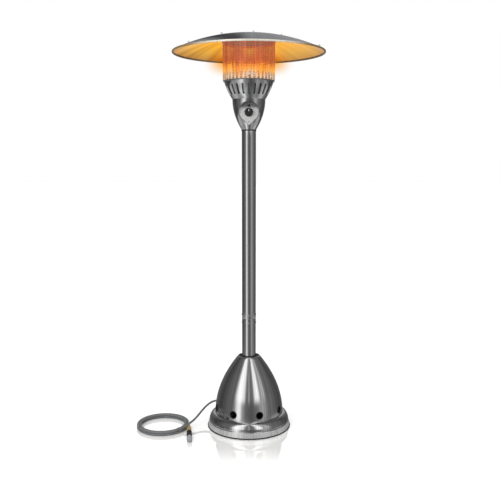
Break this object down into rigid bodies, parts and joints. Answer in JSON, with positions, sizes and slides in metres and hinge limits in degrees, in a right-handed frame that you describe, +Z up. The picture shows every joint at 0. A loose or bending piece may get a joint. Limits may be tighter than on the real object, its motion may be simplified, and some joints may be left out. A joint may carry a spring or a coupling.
{
  "type": "patio heater",
  "caption": "Free-standing natural gas patio heater: weighted base, bell cover, two-piece pole, control housing, perforated emitter and domed hood, with a coiled gas hose.",
  "frame": {"origin": "centre of the base on the floor", "axes": "+Z up the pole, -Y the front with the knob, +X to the right seen from the front"},
  "size_m": [1.0335, 0.813, 2.146],
  "materials": {
    "brushed_steel": "brushed along its length",
    "polished_steel": "polished stainless steel",
    "hood_steel": "polished stainless steel, darker outside",
    "plate_steel": "plain zinc-plated steel",
    "panel_satin": "fine satin",
    "emitter_mesh": "perforated heat-resistant steel, glowing when lit",
    "black_rubber": "matt",
    "black_plastic": "moulded",
    "white_marking": "filled line",
    "brass": "machined",
    "cast_iron": "as cast",
    "spring_steel": "drawn wire",
    "ceramic": "glazed ceramic",
    "copper": "copper tube",
    "hose_cover": "smooth grey cover",
    "grey_cap": "moulded grey"
  },
  "bodies": {
    "heater": {"edge_trim": "black_rubber", "base_plate": "plate_steel", "ballast_ring": "cast_iron", "base_ring": "brushed_steel", "pole_foot": "plate_steel", "foot_bolts": "polished_steel", "bell_cover": "brushed_steel", "vent_eyelets": "black_rubber", "bell_collar": "black_rubber", "lower_pole": "brushed_steel", "upper_pole": "brushed_steel", "pole_coupling": "plate_steel", "pole_screws": "polished_steel", "inlet_fitting": "brass", "inlet_hose": "hose_cover", "hose_grommet": "black_rubber", "gas_pipe": "brass", "neck_gasket": "black_rubber", "head_flange": "plate_steel", "control_housing": "polished_steel", "recess_liner": "plate_steel", "control_panel": "panel_satin", "panel_screws": "polished_steel", "gas_valve": "brass", "valve_bracket": "plate_steel", "stem_spring": "spring_steel", "igniter_body": "cast_iron", "tilt_switch": "cast_iron", "orifice_jet": "brass", "venturi_tube": "plate_steel", "burner_bowl": "polished_steel", "bowl_ring": "plate_steel", "burner_plate": "plate_steel", "burner_head": "cast_iron", "pilot_burner": "brass", "thermocouple": "copper", "spark_electrode": "ceramic", "emitter_screen": "emitter_mesh", "emitter_cap": "plate_steel", "hood_stays": "plate_steel", "hood_studs": "polished_steel", "hood_panel_a": "hood_steel", "hood_panel_b": "hood_steel", "hood_panel_c": "hood_steel", "crown_cap": "polished_steel", "seam_bolts": "polished_steel", "hood_nuts": "polished_steel", "hose_lead": "hose_cover", "hose_coil": "hose_cover", "hose_tail": "hose_cover", "hose_tie": "hose_cover", "hose_ferrule": "brass", "hex_adapter": "brass", "coupler_body": "brass"},
    "stem": {"valve_stem": "brass"},
    "knob": {"control_knob": "black_plastic", "knob_pointer": "white_marking"},
    "igniter": {"igniter_button": "black_plastic"},
    "sleeve": {"coupler_sleeve": "black_plastic"},
    "cap": {"dust_cap": "grey_cap"}
  },
  "joints": [
    {"name": "knob_press", "type": "slide", "parent": "heater", "child": "stem", "axis": [0, 1, 0], "range_m": [0, 0.005], "stiffness_N_per_m": 1500, "springref_m": -0.002, "deforming": ["stem_spring"]},
    {"name": "knob_turn", "type": "hinge", "parent": "stem", "child": "knob", "pos_m": [0, -0.0665, 1.733], "axis": [0, -1, 0], "range_deg": [0, 180]},
    {"name": "igniter_press", "type": "slide", "parent": "heater", "child": "igniter", "axis": [0, 1, 0], "range_m": [0, 0.005], "stiffness_N_per_m": 800, "springref_m": -0.002},
    {"name": "sleeve_slide", "type": "slide", "parent": "heater", "child": "sleeve", "axis": [-0.1045, 0.9945, 0], "range_m": [0, 0.006], "stiffness_N_per_m": 1000, "springref_m": -0.002},
    {"name": "cap_pull", "type": "slide", "parent": "heater", "child": "cap", "axis": [0.1045, -0.9945, 0], "range_m": [0, 0.03]}
  ]
}
